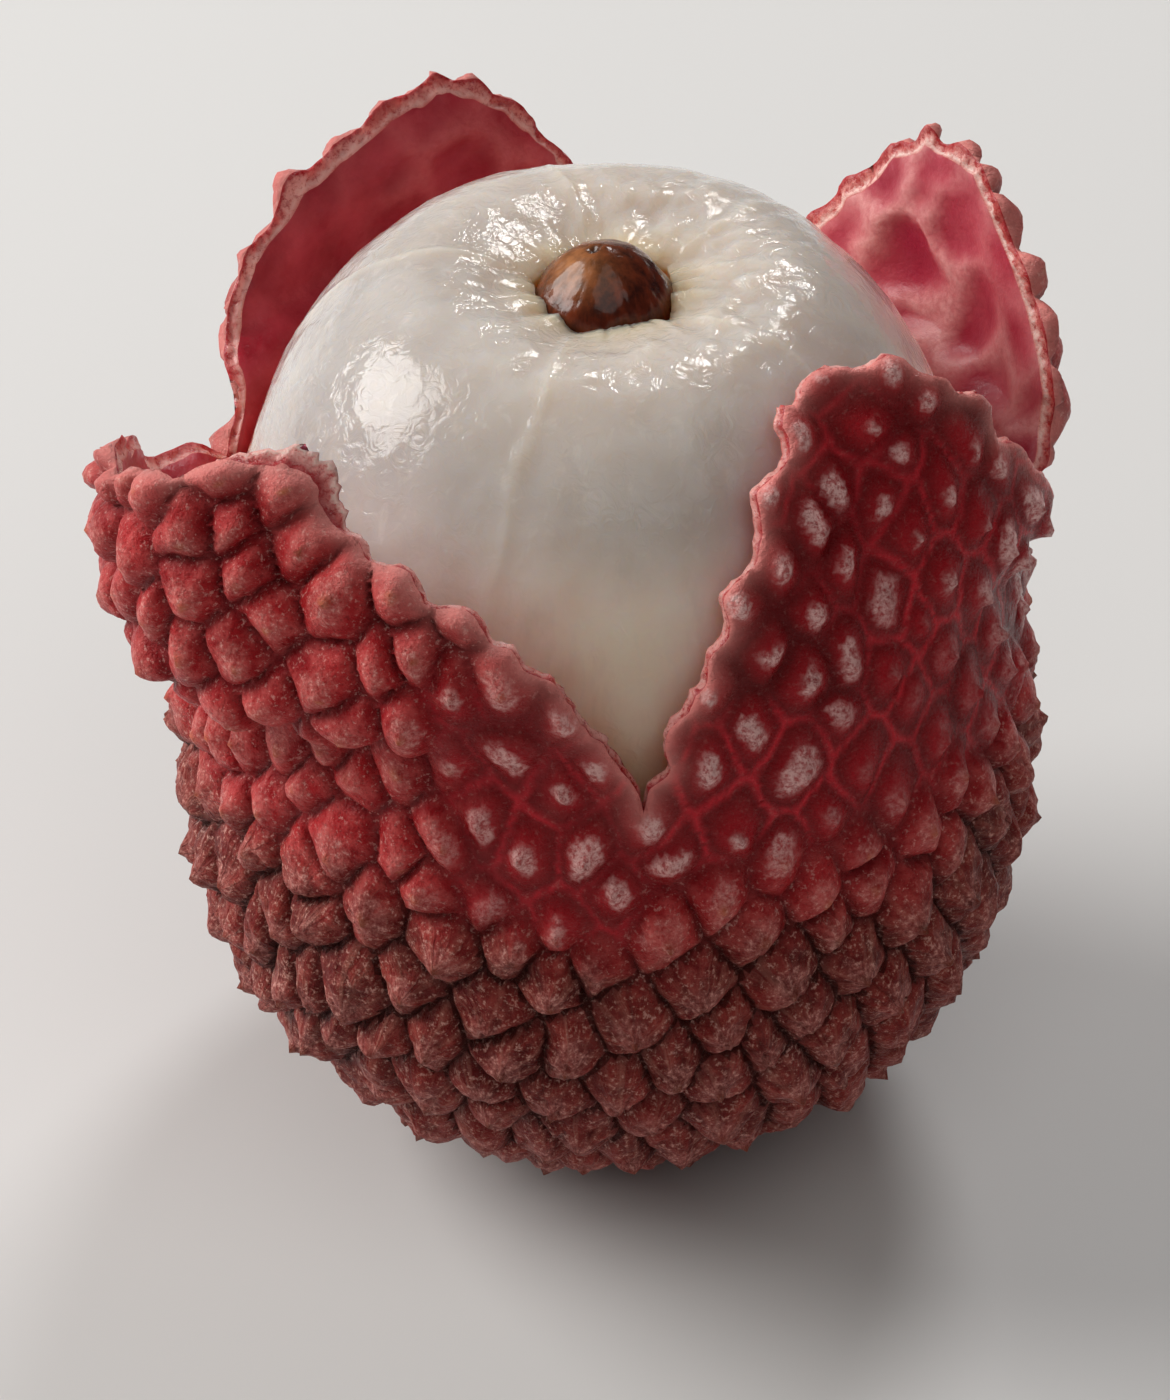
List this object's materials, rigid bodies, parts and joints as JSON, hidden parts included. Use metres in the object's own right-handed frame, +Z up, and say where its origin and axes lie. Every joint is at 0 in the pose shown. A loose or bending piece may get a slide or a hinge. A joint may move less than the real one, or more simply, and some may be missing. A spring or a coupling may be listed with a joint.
{
  "type": "lychee",
  "caption": "Partly peeled lychee fruit: bumpy rind torn into flaps around a smooth ball of flesh, with the seed's tip showing at the top.",
  "frame": {"origin": "on the fruit's axis at its blossom end, at the level where its lowest bumps are flat and carry it", "axes": "+Z up along the fruit's axis towards its opened stalk end, -Y towards the viewer of the picture"},
  "size_m": [0.0396, 0.0376, 0.0421],
  "materials": {
    "rind": "bumpy, leathery, dull",
    "flesh": "wet, translucent",
    "seed": "glossy"
  },
  "bodies": {
    "root": {"rind": "rind", "flesh": "flesh", "seed": "seed"}
  },
  "joints": []
}
